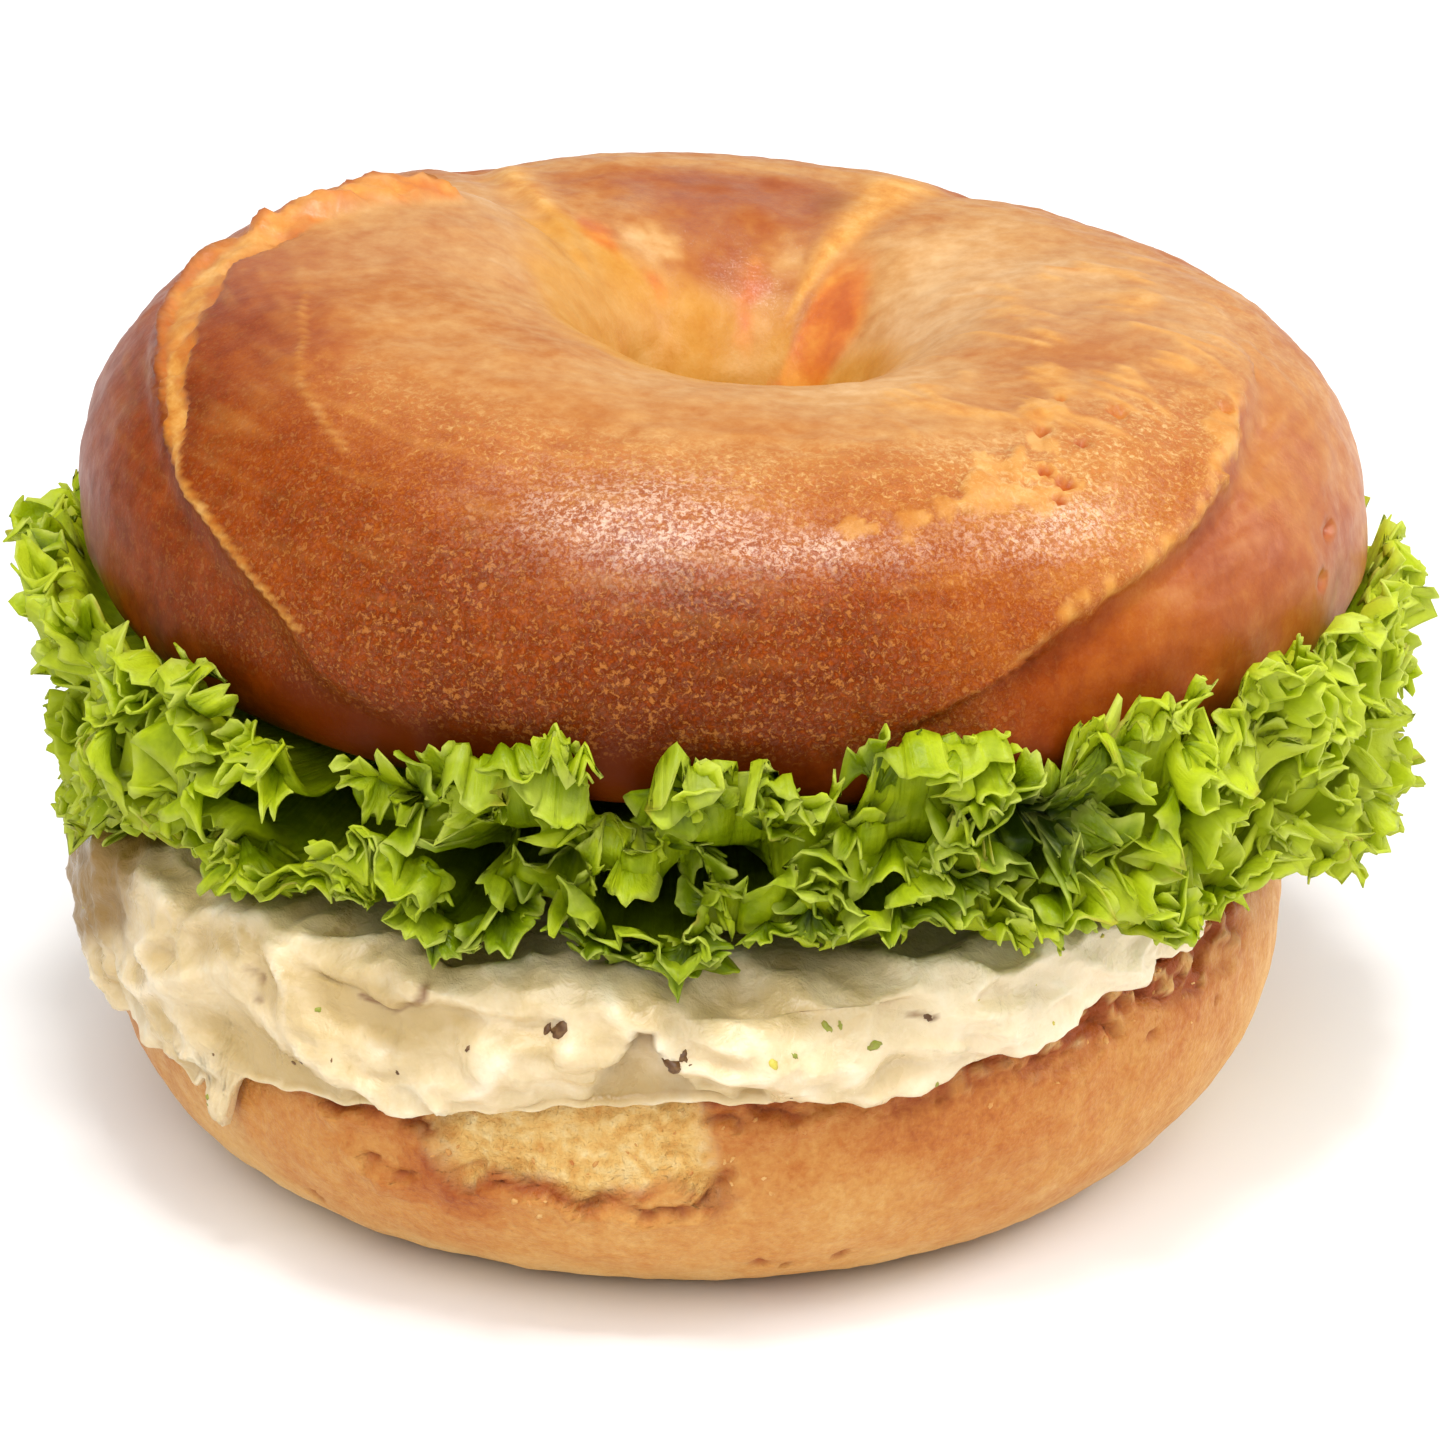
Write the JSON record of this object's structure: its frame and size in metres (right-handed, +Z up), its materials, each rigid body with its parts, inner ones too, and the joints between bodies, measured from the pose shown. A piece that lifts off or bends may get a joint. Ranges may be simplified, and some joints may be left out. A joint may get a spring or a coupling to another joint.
{
  "type": "bagel sandwich",
  "caption": "Ring-shaped bagel cut in two, with a creamy filling and ruffled green lettuce spilling out between the halves.",
  "frame": {"origin": "centre of the sandwich's outline on the surface it stands on", "axes": "+Z up through the bagel's hole, -Y towards the front that the picture shows, +X to the right seen from the front"},
  "size_m": [0.1242, 0.1183, 0.077],
  "materials": {
    "heel_crust": "baked bagel crust, satin",
    "filling": "moist creamy spread",
    "lettuce": "fresh leaf, satin",
    "crown_crust": "glossy baked bagel crust"
  },
  "bodies": {
    "root": {"bagel_heel": "heel_crust", "creamy_filling": "filling", "lettuce_lower_front": "lettuce", "lettuce_lower_back": "lettuce", "lettuce_upper_right": "lettuce", "lettuce_upper_left": "lettuce", "bagel_crown": "crown_crust"}
  },
  "joints": []
}
